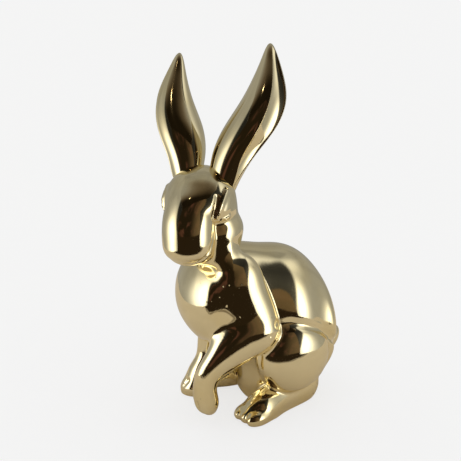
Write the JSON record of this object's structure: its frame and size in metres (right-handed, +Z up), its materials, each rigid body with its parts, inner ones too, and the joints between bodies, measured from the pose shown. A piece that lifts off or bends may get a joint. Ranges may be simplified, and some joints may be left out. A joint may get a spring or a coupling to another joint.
{
  "type": "ceramic rabbit figurine",
  "caption": "Sitting rabbit figurine in mirror-gold glazed ceramic, head turned to its left, upright cupped ears and a raised paw; an ornament to stand on a shelf.",
  "frame": {"origin": "on the ground face of the seat, in the body's middle plane, where the figurine rests", "axes": "+Z up, the body faces -Y, its left side is +X"},
  "size_m": [0.1157, 0.1698, 0.292],
  "materials": {
    "gold_glaze": "mirror gold lustre"
  },
  "bodies": {
    "root": {"torso": "gold_glaze", "head": "gold_glaze", "ear_left": "gold_glaze", "ear_right": "gold_glaze", "foreleg_left": "gold_glaze", "foreleg_right": "gold_glaze", "haunch_left": "gold_glaze", "haunch_right": "gold_glaze", "hind_foot_left": "gold_glaze", "hind_foot_right": "gold_glaze", "tail": "gold_glaze"}
  },
  "joints": []
}
